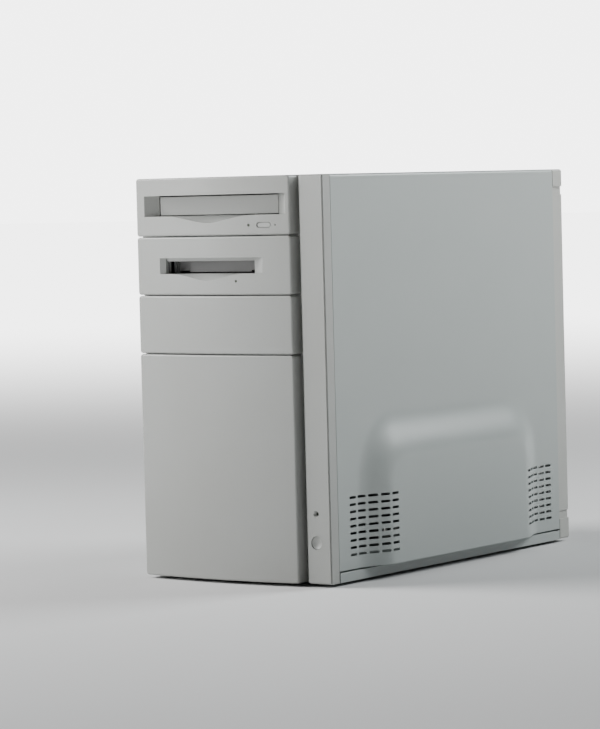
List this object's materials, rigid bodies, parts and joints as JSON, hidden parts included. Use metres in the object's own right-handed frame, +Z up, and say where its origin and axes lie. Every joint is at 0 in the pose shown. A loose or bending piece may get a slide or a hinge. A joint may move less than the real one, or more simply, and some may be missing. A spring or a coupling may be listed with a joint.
{
  "type": "desktop computer tower",
  "caption": "Upright desktop computer case with a bowed plastic front, optical and floppy drives, a spare bay, sheet-steel covers with raised fields and working internal parts.",
  "frame": {"origin": "on the floor, under the middle of the case (the feet's undersides are at Z 0)", "axes": "+Z up, -Y out of the front, +X to the right when the front is looked at"},
  "size_m": [0.23, 0.426, 0.3645],
  "materials": {
    "bezel_plastic": "moulded, fine texture",
    "panel_plastic": "moulded, fine texture",
    "cover_paint": "semi-matt enamel",
    "frame_plastic": "moulded, fine texture",
    "flap_plastic": "moulded",
    "zinc_steel": "zinc plated",
    "wire_chrome": "bright plated",
    "fin_aluminium": "extruded",
    "disk_aluminium": "cast",
    "black_plastic": "moulded",
    "dark_plastic": "moulded",
    "grey_plastic": "moulded",
    "red_plastic": "moulded",
    "white_plastic": "moulded",
    "laminate_green": "lacquered board",
    "component_mix": "moulded and plated parts",
    "lamp_plastic": "translucent",
    "ribbon_vinyl": "flat cable",
    "lead_vinyl": "bundled wires",
    "foot_rubber": "moulded"
  },
  "bodies": {
    "case": {"front_bezel": "bezel_plastic", "cd_bezel": "panel_plastic", "floppy_bezel": "panel_plastic", "blank_bay_cover": "panel_plastic", "lower_front_cover": "panel_plastic", "indicator_lamps": "lamp_plastic", "top_cover": "cover_paint", "base_pan": "cover_paint", "rear_frame": "frame_plastic", "feet": "foot_rubber", "front_plate": "zinc_steel", "rear_panel": "zinc_steel", "board_tray": "zinc_steel", "drive_cage": "zinc_steel", "drive_brackets": "zinc_steel", "io_shield": "zinc_steel", "slot_plates": "zinc_steel", "case_screws": "zinc_steel", "psu_case": "zinc_steel", "cd_drive_case": "zinc_steel", "floppy_drive_case": "zinc_steel", "cd_mechanism": "zinc_steel", "floppy_guide": "grey_plastic", "hard_disk": "disk_aluminium", "hard_disk_board": "laminate_green", "psu_board": "component_mix", "psu_inlet": "black_plastic", "psu_switch_frames": "black_plastic", "psu_fan_frame": "black_plastic", "psu_fan_grille": "wire_chrome", "case_fan_frame": "black_plastic", "cpu_fan_frame": "black_plastic", "main_board": "laminate_green", "graphics_card": "laminate_green", "network_card": "laminate_green", "memory_modules": "laminate_green", "board_sockets": "white_plastic", "board_components": "component_mix", "processor": "white_plastic", "processor_heatsink": "fin_aluminium", "io_ports": "component_mix", "card_ports": "component_mix", "power_switch": "black_plastic", "speaker": "dark_plastic", "ribbon_cables": "ribbon_vinyl", "power_leads": "lead_vinyl"},
    "power_button": {"power_button": "panel_plastic"},
    "cd_tray": {"cd_tray": "dark_plastic", "cd_tray_door": "panel_plastic"},
    "cd_eject_button": {"cd_eject_button": "panel_plastic"},
    "cd_spindle": {"cd_spindle": "dark_plastic"},
    "laser_sled": {"laser_sled": "dark_plastic"},
    "floppy_flap": {"floppy_flap": "flap_plastic"},
    "psu_fan_rotor": {"psu_fan_rotor": "black_plastic"},
    "case_fan_rotor": {"case_fan_rotor": "black_plastic"},
    "cpu_fan_rotor": {"cpu_fan_rotor": "black_plastic"},
    "psu_rocker": {"psu_rocker": "black_plastic"},
    "voltage_selector": {"voltage_selector": "red_plastic"},
    "right_side_cover": {"right_side_cover": "cover_paint"},
    "left_side_cover": {"left_side_cover": "cover_paint"}
  },
  "joints": [
    {"name": "power_button_press", "type": "slide", "parent": "case", "child": "power_button", "axis": [0, 1, 0], "range_m": [0, 0.0025], "stiffness_N_per_m": 400},
    {"name": "cd_tray_slide", "type": "slide", "parent": "case", "child": "cd_tray", "axis": [0, -1, 0], "range_m": [0, 0.14]},
    {"name": "cd_eject_press", "type": "slide", "parent": "case", "child": "cd_eject_button", "axis": [0, 1, 0], "range_m": [0, 0.001], "stiffness_N_per_m": 400},
    {"name": "cd_spindle_spin", "type": "hinge", "parent": "case", "child": "cd_spindle", "pos_m": [-0.0164, -0.1148, 0.3276], "axis": [0, 0, 1], "continuous": true},
    {"name": "laser_sled_travel", "type": "slide", "parent": "case", "child": "laser_sled", "axis": [0, 1, 0], "range_m": [0, 0.036]},
    {"name": "floppy_flap_hinge", "type": "hinge", "parent": "case", "child": "floppy_flap", "pos_m": [-0.0206, -0.1874, 0.289], "axis": [1, 0, 0], "range_deg": [0, 80], "stiffness_Nm_per_rad": 0.004},
    {"name": "psu_fan_spin", "type": "hinge", "parent": "case", "child": "psu_fan_rotor", "pos_m": [0.0355, 0.19, 0.318], "axis": [0, 1, 0], "continuous": true},
    {"name": "case_fan_spin", "type": "hinge", "parent": "case", "child": "case_fan_rotor", "pos_m": [-0.03, 0.19, 0.193], "axis": [0, 1, 0], "continuous": true},
    {"name": "cpu_fan_spin", "type": "hinge", "parent": "case", "child": "cpu_fan_rotor", "pos_m": [0.044, 0.113, 0.195], "axis": [1, 0, 0], "continuous": true},
    {"name": "psu_rocker_tilt", "type": "hinge", "parent": "case", "child": "psu_rocker", "pos_m": [-0.028, 0.1988, 0.302], "axis": [1, 0, 0], "range_deg": [-16, 0]},
    {"name": "voltage_selector_slide", "type": "slide", "parent": "case", "child": "voltage_selector", "axis": [0, 0, 1], "range_m": [0, 0.0045]},
    {"name": "right_cover_off", "type": "slide", "parent": "case", "child": "right_side_cover", "axis": [1, 0, 0], "range_m": [0, 0.12]},
    {"name": "left_cover_off", "type": "slide", "parent": "case", "child": "left_side_cover", "axis": [-1, 0, 0], "range_m": [0, 0.12]}
  ]
}
